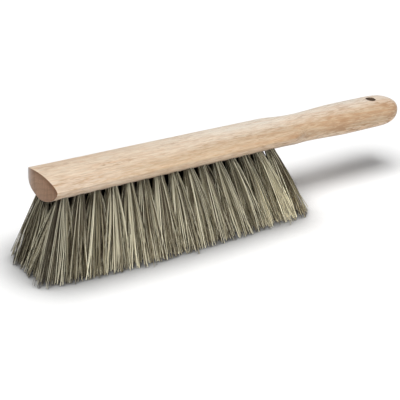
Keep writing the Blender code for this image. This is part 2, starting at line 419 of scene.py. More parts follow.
def wood_section(x, wood):
    """The section x metres from the sawn end.

    Its half width, crown, belly, widest line, and the powers of its crown and belly.
    """
    neck = wood.block_length + wood.neck_run
    to_neck = smooth_step(wood.block_length, neck, x)
    to_grip = smooth_step(neck, neck + wood.grip_run, x)
    half_thickness = mix(wood.neck_thickness, wood.grip_thickness, to_grip) / 2
    half_width = mix(wood.neck_width, wood.grip_width, to_grip) / 2
    pairs = (
        (wood.block_width / 2, half_width),
        (wood.crown_height, half_thickness),
        (wood.belly_depth, half_thickness),
        (wood.widest_line, wood.handle_line),
        (wood.crown_power, wood.handle_power),
        (wood.belly_power, wood.handle_power),
    )
    return [mix(block, handle, to_neck) for block, handle in pairs]


def corner_set_back(x, y, wood):
    """How far the sanded far corner lies behind the flat of the sawn end."""
    start = wood.block_width / 2 - wood.corner_width
    part = min(1.0, max(0.0, (y - start) / wood.corner_width))
    near_end = max(0.0, 1 - x / wood.corner_width)
    return wood.corner_depth * (1 - math.sqrt(1 - part**2)) * near_end


def wood_ring(bm, x, scale, inset, wood):
    """One ring of vertices round the wood."""
    half, crown, belly, line, crown_power, belly_power = wood_section(x, wood)
    middle = line + (crown - belly) / 2
    line = middle + (line - middle) * scale + wood.tip_lift * (1 - scale)
    ring = []
    for k in range(SECTION_SIDES):
        turn = 2 * math.pi * k / SECTION_SIDES
        c, s = math.cos(turn), math.sin(turn)
        power, reach = (crown_power, crown) if s >= 0 else (belly_power, belly)
        y = math.copysign(abs(c) ** (2 / power), c) * (half - inset) * scale
        z = line + math.copysign(abs(s) ** (2 / power), s) * (reach - inset) * scale
        along = WOOD_LOW.x + x + corner_set_back(x, y, wood)
        ring.append(bm.verts.new((along, y, z)))
    return ring


def wood_stations(wood):
    """Place, scale and inset of every ring, from the sawn end to the tip."""
    stations = []
    for k in range(EDGE_RINGS + 1):
        turn = math.pi / 2 * k / EDGE_RINGS
        inset = wood.end_edge * (1 - math.sin(turn))
        stations.append((wood.end_edge * (1 - math.cos(turn)), 1.0, inset))
    neck = wood.block_length + wood.neck_run
    tip_start = wood.wood_length - wood.tip_rounding
    runs = (
        (wood.end_edge, wood.block_length, BLOCK_RINGS),
        (wood.block_length, neck, NECK_RINGS),
        (neck, tip_start, GRIP_RINGS),
    )
    for start, end, rings in runs:
        for k in range(1, rings + 1):
            stations.append((mix(start, end, k / rings), 1.0, 0.0))
    for k in range(1, TIP_RINGS + 1):
        turn = math.pi / 2 * k / (TIP_RINGS + 0.5)
        along = math.sin(turn) ** (2 / wood.tip_power)
        scale = math.cos(turn) ** (2 / wood.tip_power)
        stations.append((tip_start + wood.tip_rounding * along, scale, 0.0))
    return stations


def bridge(bm, rings):
    """Quads between rings of equally many vertices."""
    for a, b in zip(rings, rings[1:]):
        for k in range(len(a)):
            n = (k + 1) % len(a)
            bm.faces.new((a[k], a[n], b[n], b[k]))


def close_sawn_end(bm, ring):
    """Upright strips across the sawn end, which bend round its far corner."""
    count = len(ring)
    for k in range(count // 2):
        corners = (ring[k], ring[k + 1], ring[count - k - 1], ring[(count - k) % count])
        bm.faces.new(list(dict.fromkeys(corners)))


def close_tip(bm, ring):
    """Triangles to the handle's end point."""
    middle = sum((v.co for v in ring), Vector()) / len(ring)
    centre = bm.verts.new((WOOD_HIGH.x, middle.y, middle.z))
    for k in range(len(ring)):
        bm.faces.new((ring[k], ring[(k + 1) % len(ring)], centre))


def sand_by_hand(bm, wood):
    """Let the surface wander a little, as a sanded one does."""
    bm.normal_update()
    for v in bm.verts:
        past_end = smooth_step(WOOD_LOW.x, WOOD_LOW.x + FLAT_END, v.co.x)
        x, y, z = v.co
        place = Vector((x * SANDING_ALONG, y * SANDING_ACROSS, z * SANDING_ACROSS))
        off = noise.noise(place) - SANDED_OFF
        v.co += v.normal * off * wood.hand_sanding * past_end


def tuft_axes():
    """Mouth and tip of every tuft, read from the frame's solids, by node name."""
    axes = {}
    for name in TUFT_NODES:
        points = [v.co for v in frame["nodes"][name].data.vertices]
        low = min(p.z for p in points)
        high = max(p.z for p in points)
        lower = [p for p in points if p.z < low + TIP_SLICE]
        upper = [p for p in points if p.z > high - STAPLE_SLICE]
        tip = sum(lower, Vector()) / len(lower)
        end = sum(upper, Vector()) / len(upper)
        mouth = end + (tip - end).normalized() * STAPLE_END_ABOVE_MOUTH
        axes[name] = (mouth, tip)
    return axes


def add_drill(bm, radius, bottom, top, sides):
    """A closed cylinder between two points."""
    axis = (top - bottom).normalized()
    turn = axis.to_track_quat("Z", "Y").to_matrix().to_4x4()
    middle = Matrix.Translation((bottom + top) / 2)
    bmesh.ops.create_cone(
        bm,
        cap_ends=True,
        segments=sides,
        radius1=radius,
        radius2=radius,
        depth=(top - bottom).length,
        matrix=middle @ turn,
    )


def add_eased_drill(bm, x, bottom, top, wood):
    """The hanging hole's cutter: a cylinder that flares where it leaves the wood."""
    radius, edge = wood.hole_diameter / 2, wood.hole_edge
    levels = [(out, bottom - edge * rise) for out, rise in reversed(EASED_EDGE)]
    levels += [(out, top + edge * rise) for out, rise in EASED_EDGE]
    rings = []
    for out, z in levels:
        reach = radius + edge * out
        ring = []
        for k in range(HANGING_HOLE_SIDES):
            turn = 2 * math.pi * k / HANGING_HOLE_SIDES
            point = (x + reach * math.cos(turn), reach * math.sin(turn), z)
            ring.append(bm.verts.new(point))
        rings.append(ring)
    bridge(bm, rings)
    bm.faces.new(rings[0])
    bm.faces.new(rings[-1])


def cut(target, cutter_bm):
    """Take a cutter's volume out of a piece for good."""
    bmesh.ops.recalc_face_normals(cutter_bm, faces=cutter_bm.faces)
    mesh = bpy.data.meshes.new("cutter")
    cutter_bm.to_mesh(mesh)
    cutter_bm.free()
    cutter = add_piece("cutter", mesh)
    modifier = target.modifiers.new("cut", "BOOLEAN")
    modifier.operation = "DIFFERENCE"
    modifier.solver = "EXACT"
    modifier.object = cutter
    graph = bpy.context.evaluated_depsgraph_get()
    result = bpy.data.meshes.new_from_object(target.evaluated_get(graph))
    target.modifiers.clear()
    target.data = result
    bpy.data.objects.remove(cutter)


def drill_wood(piece, wood):
    """The tuft holes from below, and the hanging hole with its edges eased."""
    bm = bmesh.new()
    for mouth, tip in tuft_axes().values():
        up = (mouth - tip).normalized()
        start = mouth - up * CUT_OVERSHOOT
        end = mouth + up * wood.tuft_hole_depth
        add_drill(bm, wood.tuft_hole_diameter / 2, start, end, TUFT_HOLE_SIDES)
    cut(piece, bm)
    bm = bmesh.new()
    x = wood.wood_length - wood.hole_from_tip
    _, crown, belly, line, _, _ = wood_section(x, wood)
    add_eased_drill(bm, WOOD_LOW.x + x, line - belly, line + crown, wood)
    cut(piece, bm)


# The look of the wood. A colour that multiplies another can be above 1. In a pair the
# block's comes first and the handle's second.
HEART_PLACE = (0.0, 0.034, 0.012)
HEART_LEAN = (0.0, math.radians(-2.6), math.radians(1.8))
RINGS_DRAWN_OUT = (0.09, 1.0, 1.0)
WAVES_TO_A_RING = 0.314
FIBRES_ACROSS = 2600.0
BROWNER = (0.85, 0.80, 0.73), (0.71, 0.65, 0.57)
PALER = (1.12, 1.17, 1.22), (1.10, 1.29, 1.50)
# Painted light: how much paler the underside is made, block then handle.
PAINTED_UNDERSIDE_LIGHT = (1.22, 1.22, 1.24), (1.56, 1.71, 1.94)
LOWEST_LINE_DARKER = (0.66, 0.56, 0.46)
LOWEST_LINE_DARKENING = 1.2, 0.4
BARK_CREAM = (0.775, 0.665, 0.555)
# Wear from scuffs and a painted highlight on the block's near edge.
SCUFF_AND_HIGHLIGHT_PALE = (0.77, 0.66, 0.57)
# Painted shade inside the hanging hole.
HOLE_PAINTED_SHADE = (0.11, 0.07, 0.045)

# Where along the brush its look starts to change and has changed, in its own frame.
HANDLE_LOOK = 0.02, 0.09
TIP_LOOK = 0.145, 0.165
NEAR_HALF = -0.009, 0.0
SCUFF_AND_HIGHLIGHT_ALONG = 0.085, 0.145
SCUFF_AND_HIGHLIGHT_ACROSS = 0.010, 0.017

# How strongly each mark shows, from 0 to 1.
BLOCK_MARKS = 0.40
STREAKS_SHOW = 0.34
TIP_SHOWS = 0.7
FLECKS_SHOW = 0.46
FIGURE_SHOWS = 0.42
LEAST_LINES = 0.5
BARK_SHOWS = 0.62
SCUFF_AND_HIGHLIGHT_SHOW = 0.40
PORES_SHOW = 0.80

# The sawn end, with painted light that changes its colours from the near to the far side.
END_PAINTED_LIGHT_NEAR_TO_FAR = (0.93, 0.90, 0.85), (1.09, 1.17, 1.26)
END_FAR_SIDE = -0.016, 0.010
END_EDGE_BROWN = (0.64, 0.54, 0.45)
# Painted reflection on the sawn end's far corner.
END_CORNER_PAINTED_REFLECTION = (0.39, 0.35, 0.33)
END_CORNER = 0.009, 0.019
END_CORNER_REFLECTION_SHOWS = 0.7
END_REACH = 0.02
RAY_LEAN = (math.radians(9), 0.0, 0.0)
RAY_CELLS = (1.0, 420.0, 60.0)
DOTS_PER_METRE = 1500.0


def wood_patterns(nodes, place, wood):
    """The patterns that run through the solid wood, from 0 to 1."""
    # The log's heart lies below and beside the brush, a few degrees off its length.
    from_heart = nodes.mapped(place, Location=HEART_PLACE, Rotation=HEART_LEAN)
    rings = nodes.add(
        "ShaderNodeTexWave",
        {
            "Vector": nodes.mapped(from_heart, Scale=RINGS_DRAWN_OUT),
            "Scale": WAVES_TO_A_RING / wood.ring_spacing,
            "Distortion": 9.0,
            "Detail": 3.0,
            "Detail Scale": 0.42,
            "Detail Roughness": 0.55,
        },
        wave_type="RINGS",
        rings_direction="X",
        wave_profile="SAW",
    ).outputs["Fac"]
    # Streaks and patches are broad and soft. Fibres and pores are long, thin cells.
    patches = nodes.grain(place, 18.0, 70.0, Detail=3.0)
    pores = nodes.grain(
        place, 1 / wood.pore_length, 1 / wood.pore_width / 2, Detail=1.0, Roughness=0.4
    )
    flecks = nodes.grain(
        place, 1 / wood.fleck_length, 1 / wood.fleck_width, Detail=2.0, Distortion=0.4
    )
    # The handle was cut where the grain turns: it has wavy figure and broken lines.
    figure = nodes.grain(place, 38.0, 150.0, Detail=3.0, Distortion=1.2)
    lines = nodes.grain(from_heart, 110.0, 560.0, Detail=2.0)
    late = nodes.ramp(rings, (0.0, 0.0), (0.55, 0.12), (0.88, 1.0), (1.0, 0.1))
    return SimpleNamespace(
        late_growth=late,
        streaks=nodes.grain(place, 7.0, 120.0, Detail=5.0, Roughness=0.62),
        patches=patches,
        fibres=nodes.grain(place, 1 / wood.pore_length / 2, FIBRES_ACROSS, Detail=2.0),
        pores=nodes.product(
            nodes.fade(pores, 0.585, 0.68), nodes.fade(patches, 0.38, 0.62, low=0.25)
        ),
        flecks=nodes.fade(flecks, 0.46, 0.62),
        figure=nodes.fade(figure, 0.50, 0.66, high=FIGURE_SHOWS),
        lines=nodes.fade(lines, 0.50, 0.59),
    )


def grained_body(nodes, x, y, grain, in_handle, wood):
    """The colour that the wood grew with, and its dark broken lines."""
    broken = nodes.total(
        nodes.product(in_handle, nodes.fade(grain.patches, 0.40, 0.58, low=0.15)),
        nodes.product(nodes.fade(x, *TIP_LOOK), TIP_SHOWS),
    )
    tint = nodes.total(
        nodes.product(nodes.fade(grain.streaks, 0.34, 0.70), STREAKS_SHOW),
        nodes.product(grain.late_growth, broken),
        nodes.product(grain.flecks, FLECKS_SHOW),
        nodes.product(grain.figure, in_handle),
        clamp=True,
    )
    many = nodes.math("MAXIMUM", broken, nodes.product(in_handle, LEAST_LINES))
    near_half = nodes.fade(y, *NEAR_HALF, low=1.0, high=0.15, shift=0.02)
    lines = nodes.product(grain.lines, many, near_half)
    pale = nodes.blend(grain.patches, wood.cream, [c * 0.93 for c in wood.cream])
    body = nodes.blend(tint, pale, wood.tan)

    # The near side of the handle was closer to the log's heart and is browner.
    heart_side = nodes.product(nodes.math("MINIMUM", x, 0.01), 6.0)
    heart_side = nodes.math("MULTIPLY_ADD", y, -110.0, heart_side)
    heart_side = nodes.math("MULTIPLY_ADD", grain.patches, 0.9, heart_side)
    heart_side = nodes.total(heart_side, -0.76, clamp=True)
    browner = nodes.tinted(body, nodes.blend(in_handle, *BROWNER))
    body = nodes.blend(heart_side, body, browner)
    # The far side was closer to the bark and is paler.
    bark_side = nodes.product(nodes.total(x, 0.09), 11.0, clamp=True)
    far_half = nodes.product(nodes.total(y, 0.014), 55.0, clamp=True)
    bark_side = nodes.product(bark_side, far_half)
    paler = nodes.tinted(body, nodes.blend(in_handle, *PALER))
    paler = nodes.blend(nodes.product(in_handle, BARK_SHOWS), paler, BARK_CREAM)
    return nodes.blend(bark_side, body, paler), lines


def underside_and_edge_body(nodes, body, x, y, facing_down, grain, in_handle):
    """The wood's colour with painted light on its underside, a darker lowest line, and a near
    edge worn by scuffs with a painted highlight.
    """
    # Painted light: the underside is made paler where it faces the floor, and its lowest line
    # is darker.
    underside_light_share = nodes.ramp(facing_down, (0.02, 0.0), (0.45, 1.0), (0.62, 1.0), (0.82, 0.0))
    painted_underside_body = nodes.tinted(body, nodes.blend(in_handle, *PAINTED_UNDERSIDE_LIGHT))
    body = nodes.blend(underside_light_share, body, painted_underside_body)
    # Darker along the lowest line, where the wood faces the floor.
    lowest_line_dark = nodes.blend(in_handle, *LOWEST_LINE_DARKENING, kind="FLOAT")
    lowest_line_dark = nodes.product(nodes.fade(facing_down, 0.70, 0.90), lowest_line_dark, clamp=True)
    body = nodes.blend(lowest_line_dark, body, nodes.tinted(body, LOWEST_LINE_DARKER))
    # The block's near edge is paler towards the sawn end: wear from scuffs and a painted
    # highlight.
    scuff_and_highlight = nodes.product(
        nodes.fade(nodes.product(x, -1.0), *SCUFF_AND_HIGHLIGHT_ALONG),
        nodes.fade(nodes.product(y, -1.0), *SCUFF_AND_HIGHLIGHT_ACROSS),
        nodes.fade(grain.flecks, 0.2, 0.8, low=1.0, high=0.3),
        SCUFF_AND_HIGHLIGHT_SHOW,
    )
    return nodes.blend(scuff_and_highlight, body, SCUFF_AND_HIGHLIGHT_PALE)


def sawn_end_body(nodes, place, y, z, grain, wood):
    """Sawn across, the same cells stand on end and are darker, with painted shade, painted
    light and a painted reflection besides.
    """
    body = nodes.blend(
        nodes.product(grain.late_growth, 0.5),
        wood.end_grain,
        [c * 0.72 for c in wood.end_grain],
    )
    dots = nodes.noise(place, DOTS_PER_METRE, Detail=1.0)
    body = nodes.tinted(body, nodes.fade(dots, 0.35, 0.65, low=0.86, high=1.06))
    # Rays show as upright streaks and the sanded edge is darkest. The rounded far corner gets
    # a grey painted reflection.
    rays = nodes.mapped(place, Rotation=RAY_LEAN, Scale=RAY_CELLS)
    rays = nodes.noise(rays, Detail=3.0)
    body = nodes.tinted(body, nodes.fade(rays, 0.3, 0.7, low=0.84, high=1.13))
    # Painted light: paler and greyer towards the far side.
    lit_far_side = nodes.fade(y, *END_FAR_SIDE, shift=0.022)
    body = nodes.tinted(body, nodes.blend(lit_far_side, *END_PAINTED_LIGHT_NEAR_TO_FAR))
    corner = nodes.fade(y, *END_CORNER, smooth=True)
    across = nodes.math("DIVIDE", y, wood.block_width / 2)
    crown = nodes.product(across, across)
    top = wood.crown_height + wood.widest_line
    crown = nodes.math("MULTIPLY_ADD", crown, -wood.crown_height, top)
    below_crown = nodes.math("SUBTRACT", crown, z)
    edge = nodes.fade(below_crown, 0.0009, 0.0029, low=1.0, high=0.0)
    edge = nodes.product(edge, nodes.math("SUBTRACT", 1.0, corner))
    body = nodes.blend(edge, body, nodes.tinted(body, END_EDGE_BROWN))
    return nodes.blend(nodes.product(corner, END_CORNER_REFLECTION_SHOWS), body, END_CORNER_PAINTED_REFLECTION)


def wood_material(wood):
    """Pale hardwood: rings in the solid, short open pores and darker end grain, with painted
    light and shade in places.
    """
    made, nodes, shader = plain_material("bare_hardwood_grain")
    place = nodes.add("ShaderNodeTexCoord").outputs["Object"]
    normal = nodes.add("ShaderNodeNewGeometry").outputs["Normal"]
    x, y, z = nodes.add("ShaderNodeSeparateXYZ", {"Vector": place}).outputs
    grain = wood_patterns(nodes, place, wood)
    in_handle = nodes.fade(x, *HANDLE_LOOK, low=BLOCK_MARKS)
    body, lines = grained_body(nodes, x, y, grain, in_handle, wood)
    facing_down = nodes.vector("DOT_PRODUCT", normal, (0.0, 0.0, -1.0))
    body = underside_and_edge_body(nodes, body, x, y, facing_down, grain, in_handle)
    fibre_tone = nodes.fade(grain.fibres, 0.25, 0.75, low=0.79, high=1.14)
    body = nodes.tinted(body, fibre_tone)
    pores_show = nodes.product(grain.pores, PORES_SHOW)
    body = nodes.blend(pores_show, body, wood.pore_brown)
    body = nodes.blend(lines, body, wood.pore_brown)

    # End grain, darkened further by painted shade, shows in full on the sawn end, and a little
    # where the tip curves away.
    facing = nodes.vector("DOT_PRODUCT", normal, (1.0, 0.0, 0.0))
    facing = nodes.math("ABSOLUTE", facing)
    at_sawn_end = nodes.math("LESS_THAN", x, WOOD_LOW.x + END_REACH)
    sawn = nodes.blend(at_sawn_end, 0.22, 1.0, kind="FLOAT")
    sawn = nodes.product(nodes.fade(facing, 0.25, 0.55), sawn)
    body = nodes.blend(sawn, body, sawn_end_body(nodes, place, y, z, grain, wood))

    # Painted shade: the hanging hole's wall is dark.
    hole = (WOOD_HIGH.x - wood.hole_from_tip, 0.0, 0.0)
    from_axis = nodes.vector("SUBTRACT", place, hole)
    from_axis = nodes.vector("MULTIPLY", from_axis, (1.0, 1.0, 0.0))
    from_axis = nodes.vector("LENGTH", from_axis)
    wall = wood.hole_diameter / 2 + 0.0002
    in_hole = nodes.math("LESS_THAN", from_axis, wall)
    nodes.feed(shader.inputs["Base Color"], nodes.blend(in_hole, body, HOLE_PAINTED_SHADE))

    rough = nodes.fade(grain.streaks, 0.2, 0.8, low=0.50, high=0.60)
    rough = nodes.blend(sawn, rough, (0.75, 0.75, 0.75))
    nodes.feed(shader.inputs["Roughness"], rough)
    shader.inputs["Specular IOR Level"].default_value = 0.4
    shader.inputs["Sheen Weight"].default_value = 0.35
    shader.inputs["Sheen Roughness"].default_value = 0.3
    relief = nodes.math("SUBTRACT", nodes.product(grain.fibres, 0.35), grain.pores)
    bump = {"Strength": 0.35, "Distance": 0.0002, "Height": relief}
    nodes.feed(shader.inputs["Normal"], nodes.add("ShaderNodeBump", bump))
    return made


class BRUSH_OT_make_wood(bpy.types.Operator):
    """Make the drilled block with its handle in place of the plain solid"""

    bl_idname = "masonry_brush.make_wood"
    bl_label = "Make Wood"
    bl_options = {"REGISTER", "UNDO"}

    def execute(self, context):
        wood = context.scene.masonry_brush.wood
        bm = bmesh.new()
        rings = [wood_ring(bm, *station, wood) for station in wood_stations(wood)]
        bridge(bm, rings)
        close_sawn_end(bm, rings[0])
        close_tip(bm, rings[-1])
        bmesh.ops.recalc_face_normals(bm, faces=bm.faces)
        sand_by_hand(bm, wood)
        mesh = bpy.data.meshes.new("wooden_block_and_handle")
        bm.to_mesh(mesh)
        bm.free()
        piece = add_piece("wooden_block_and_handle", mesh)
        drill_wood(piece, wood)
        piece.data.shade_smooth()
        piece.data.set_sharp_from_angle(angle=math.radians(40))
        piece.data.materials.clear()
        piece.data.materials.append(wood_material(wood))
        finish_piece(piece, [WOOD_NODE])
        return {"FINISHED"}


# Bristles


CURVE_POINTS = 6
BRISTLE_SIDES = 3
FULL_TURN = 2 * math.pi
GOLDEN_ANGLE = math.pi * (3 - math.sqrt(5))
# Keeps the clump numbers of two tufts, and the seeds of two rows, apart.
CLUMP_STEP = 1000.0
ROW_SEED_STEP = 1000
LEAST_STRAY = 0.2
TRIM_POWER = 2.0
# A leaning bristle's cut end dips by part of its thickness.
CUT_END_DIP = 0.3
THICKNESS_RANGE = 0.30, 0.54
DARK_THICKNESS = 0.6
# What a bristle's shade takes from its clump, itself and its tuft.
CLUMP_SHADE, OWN_SHADE, TUFT_SHADE = 0.24, 0.70, 0.06
# How far the first, second and third tuft of each row are brought to one front, and
# what share of their distance off the centre line that takes.
FRONT_TUFTS = 1.0, 0.6, 0.25
CORNER_ROUNDING = 0.13
FAR_CORNER_ROUNDING = 0.30
# The front falls back past this far off the centre line, by so much of what is past it.
FAR_CORNER = 0.015
FAR_CORNER_BACK = 0.4


def bristle_inputs(settings):
    """Name, kind and value of the tree's inputs: every number that can be set."""
    yield "Geometry", "Geometry", None
    for key, prop in settings.bl_rna.properties.items():
        if prop.type in {"INT", "FLOAT"} and not prop.is_array:
            yield prop.name, prop.type.capitalize(), getattr(settings, key)
    yield "Material", "Material", None


def bristle_tree(settings):
    """The tree that grows every bristle of the tufts whose mouths it is given."""
    tree = bpy.data.node_groups.new("grow_bristles", "GeometryNodeTree")
    face = tree.interface
    for name, kind, value in bristle_inputs(settings):
        socket = face.new_socket(name, in_out="INPUT", socket_type=f"NodeSocket{kind}")
        if value is not None:
            socket.default_value = value
    face.new_socket("Geometry", in_out="OUTPUT", socket_type="NodeSocketGeometry")

    nodes = NodeMaker(tree)
    given = nodes.add("NodeGroupInput").outputs
    geo, math_, vec = nodes.geometry, nodes.math, nodes.vector
    product, total = nodes.product, nodes.total
    index = geo("InputIndex")
    seeds = iter(range(100))

    def rand(low, high, identity=None):
        """A random number for each bristle, or for each group with one identity."""
        node = nodes.add("FunctionNodeRandomValue", data_type="FLOAT")
        sockets = {s.identifier: s for s in node.inputs}
        nodes.feed(sockets["Min_001"], low)
        nodes.feed(sockets["Max_001"], high)
        nodes.feed(sockets["Seed"], total(given["Seed"], float(next(seeds))))
        nodes.feed(sockets["ID"], index if identity is None else identity)
        return next(s for s in node.outputs if s.enabled)

    def polar(radius, turn, side=(1.0, 0.0, 0.0), up=(0.0, 1.0, 0.0)):
        """A point at a radius and a turn in the plane of two directions."""
        along_side = vec("SCALE", side, product(radius, math_("COSINE", turn)))
        along_up = vec("SCALE", up, product(radius, math_("SINE", turn)))
        return vec("ADD", along_side, along_up)

    # Every bristle starts as one point in its tuft's mouth.
    per_tuft = product(given["Clumps per tuft"], given["Bristles per clump"])
    inputs = {"Geometry": given["Geometry"], "Amount": per_tuft}
    doubled = geo("DuplicateElements", inputs, domain="POINT").outputs
    mouth = geo("InputPosition")
    tip_middle = geo("InputNamedAttribute", {"Name": "tuft_tip"}, data_type="FLOAT_VECTOR")
    up = vec("NORMALIZE", vec("SUBTRACT", mouth, tip_middle))
    side = vec("NORMALIZE", vec("CROSS_PRODUCT", (0.0, 1.0, 0.0), up))
    across = vec("CROSS_PRODUCT", up, side)

    # Clumps fill the bundle evenly, each turned by the golden angle from the last.
    tuft = math_("FLOOR", math_("DIVIDE", index, per_tuft))
    in_tuft = math_("DIVIDE", doubled["Duplicate Index"], given["Bristles per clump"])
    in_tuft = math_("FLOOR", in_tuft)
    clump = total(product(tuft, CLUMP_STEP), in_tuft)
    spread = math_("DIVIDE", total(in_tuft, 0.5), given["Clumps per tuft"])
    spread = math_("SQRT", spread)
    turn = total(product(in_tuft, GOLDEN_ANGLE), rand(0.0, FULL_TURN, tuft))

    own_turn = rand(0.0, FULL_TURN)
    own_spread = math_("SQRT", rand(0.0, 1.0))
    root_offset = vec(
        "ADD",
        polar(product(spread, given["Root radius"]), turn, side, across),
        polar(product(own_spread, given["Clump root"]), own_turn, side, across),
    )
    root_middle = vec("ADD", mouth, vec("SCALE", up, given["Sunk"]))

    wander = product(given["Tip radius"], given["Wander"], rand(0.0, 1.0, clump))
    is_stray = math_("LESS_THAN", rand(0.0, 1.0), given["Stray share"])
    stray = product(is_stray, rand(LEAST_STRAY, 1.0))
    stray = product(given["Tip radius"], given["Stray reach"], stray)
    tip_offset = polar(product(spread, given["Tip radius"]), turn)
    for reach, heading in (
        (wander, rand(0.0, FULL_TURN, clump)),
        (product(own_spread, given["Clump tip"]), own_turn),
        (stray, rand(0.0, FULL_TURN)),
    ):
        tip_offset = vec("ADD", tip_offset, polar(reach, heading))
    stretch = {"X": given["Row stretch"], "Y": 1.0, "Z": 1.0}
    stretch = nodes.add("ShaderNodeCombineXYZ", stretch)
    tip_offset = vec("MULTIPLY", tip_offset, stretch)
    tip_height = math_("POWER", rand(0.0, 1.0), TRIM_POWER)
    tip_height = product(tip_height, given["Trim spread"])
    tip_height = math_("MULTIPLY_ADD", given["Width"], CUT_END_DIP, tip_height)
    lift = nodes.add("ShaderNodeCombineXYZ", {"Z": tip_height})
    tip_offset = vec("ADD", tip_offset, lift)

    clump_bow = product(given["Clump bend"], rand(-1.0, 1.0, clump))
    clump_bow = polar(clump_bow, rand(0.0, math.pi, clump))
    own_bow = product(given["Bend"], rand(-1.0, 1.0))
    bow = vec("ADD", clump_bow, polar(own_bow, rand(0.0, math.pi)))
    shade = total(
        product(rand(0.0, 1.0, clump), CLUMP_SHADE),
        product(rand(0.0, 1.0), OWN_SHADE),
        product(rand(0.0, 1.0, tuft), TUFT_SHADE),
    )
    thickness = product(
        given["Width"], rand(*THICKNESS_RANGE), total(shade, DARK_THICKNESS)
    )

    # What was worked out for each point is carried over to its curve.
    capture = {"Geometry": doubled["Geometry"]}
    capture = geo("CaptureAttribute", capture, domain="POINT")
    kept = {}
    for name, kind, value in (
        ("root_middle", "VECTOR", root_middle),
        ("tip_middle", "VECTOR", tip_middle),
        ("root_offset", "VECTOR", root_offset),
        ("tip_offset", "VECTOR", tip_offset),
        ("bow", "VECTOR", bow),
        ("thickness", "FLOAT", thickness),
        ("shade", "FLOAT", shade),
    ):
        capture.capture_items.new(kind, name)
        nodes.feed(capture.inputs[name], value)
        kept[name] = capture.outputs[name]
    line = geo("CurvePrimitiveLine", {"End": (0.0, 0.0, 1.0)})
    line = geo("ResampleCurve", {"Curve": line, "Count": CURVE_POINTS})
    points = capture.outputs["Geometry"]
    curves = geo("InstanceOnPoints", {"Points": points, "Instance": line})
    curves = geo("RealizeInstances", {"Geometry": curves})

    along = geo("SplineParameter").outputs["Factor"]
    ends = kept["root_middle"], kept["tip_middle"]
    level = nodes.blend(along, *ends, kind="VECTOR")
    lean = nodes.blend(math_("POWER", along, given["Flare"]), *ends, kind="VECTOR")
    lean = vec("MULTIPLY", lean, (1.0, 1.0, 0.0))
    middle = vec("ADD", lean, vec("MULTIPLY", level, (0.0, 0.0, 1.0)))
    gathered = math_("POWER", along, given["Gather"])
    offsets = kept["root_offset"], kept["tip_offset"]
    straight = vec("ADD", middle, nodes.blend(gathered, *offsets, kind="VECTOR"))
    # An arch that is 0 at both ends and 1 in the middle.
    arch = product(math_("SUBTRACT", 1.0, along), product(along, 4.0))
    path = vec("ADD", straight, vec("SCALE", kept["bow"], arch))
    curves = geo("SetPosition", {"Geometry": curves, "Position": path})
    for name, value in (("shade", kept["shade"]), ("along", along)):
        inputs = {"Geometry": curves, "Name": name, "Value": value}
        curves = geo("StoreNamedAttribute", inputs, data_type="FLOAT", domain="POINT")
    taper = product(along, math_("SUBTRACT", 1.0, given["Tip taper"]))
    radius = product(kept["thickness"], math_("SUBTRACT", 1.0, taper))
    profile = {"Resolution": BRISTLE_SIDES, "Radius": 1.0}
    profile = geo("CurvePrimitiveCircle", profile)
    mesh = geo(
        "CurveToMesh",
        {"Curve": curves, "Profile Curve": profile, "Scale": radius, "Fill Caps": True},
    )
    mesh = geo("SetShadeSmooth", {"Geometry": mesh})
    mesh = geo("RealizeInstances", {"Geometry": mesh})
    mesh = geo("SetMaterial", {"Geometry": mesh, "Material": given["Material"]})
    nodes.add("NodeGroupOutput", {"Geometry": mesh})
    return tree


def bristle_material(settings):
    """Mixed fibre: each bristle has its own shade of colour and is palest at its tip, with
    painted light and shade by place.
    """
    made, nodes, shader = plain_material("olive_grey_bristle_fibre")
    shade = nodes.add("ShaderNodeAttribute", attribute_name="shade").outputs["Fac"]
    along = nodes.add("ShaderNodeAttribute", attribute_name="along").outputs["Fac"]
    body = nodes.ramp(
        shade,
        (0.30, settings.dark),
        (0.42, [c * 0.40 for c in settings.olive]),
        (0.57, settings.olive),
        (0.78, settings.straw),
    )
    tone = nodes.ramp(along, (0.0, 0.64), (0.18, 0.68), (0.40, 0.88), (0.7, 1.05), (1.0, 1.03))
    # Painted shade darkens the sawn end's tufts, and painted light makes those at the handle
    # palest.
    place = nodes.add("ShaderNodeTexCoord").outputs["Object"]
    place = nodes.add("ShaderNodeSeparateXYZ", {"Vector": place}).outputs
    from_end = nodes.math("SUBTRACT", place["X"], WOOD_LOW.x - 0.020)
    tone = nodes.product(tone, nodes.fade(from_end, 0.0, 0.044, low=0.44))
    lit_at_handle = nodes.fade(place["X"], -0.015, 0.065, shift=0.03)
    tone = nodes.product(tone, nodes.math("MULTIPLY_ADD", lit_at_handle, 0.80, 1.0))
    # Painted shade: the rows nearest the middle are dark up at the block.
    inner_shade = nodes.fade(nodes.math("ABSOLUTE", place["Y"]), 0.008, 0.013, low=0.12)
    end_tufts = nodes.fade(from_end, 0.032, 0.046, low=1.0, high=0.0)
    inner_shade = nodes.math("MAXIMUM", inner_shade, end_tufts)
    near_tip = nodes.fade(along, 0.20, 0.56)
    tone = nodes.product(tone, nodes.blend(near_tip, inner_shade, (1.0, 1.0, 1.0)))
    nodes.feed(shader.inputs["Base Color"], nodes.tinted(body, tone))
    shader.inputs["Roughness"].default_value = 0.42
    shader.inputs["Specular IOR Level"].default_value = 0.3
    return made


def fan_out_end(axes):
    """Bring the tips of the staggered rows to one rounded front at the sawn end."""
    for place, part in enumerate(FRONT_TUFTS, start=1):
        names = [name for name in axes if name.endswith(f"_{place:02d}")]
        front = sum(axes[name][1].x for name in names) / len(names)
        for name in names:
            mouth, tip = axes[name]
            rounding = CORNER_ROUNDING if tip.y < FAR_CORNER else FAR_CORNER_ROUNDING
            back = max(0.0, tip.y - FAR_CORNER) * part * FAR_CORNER_BACK
            x = mix(tip.x, front, part) + back
            axes[name] = (mouth, Vector((x, tip.y * (1 - rounding * part), tip.z)))


def row_of(node_name):
    """The row that a tuft node belongs to."""
    return node_name.rsplit("_", 1)[0]


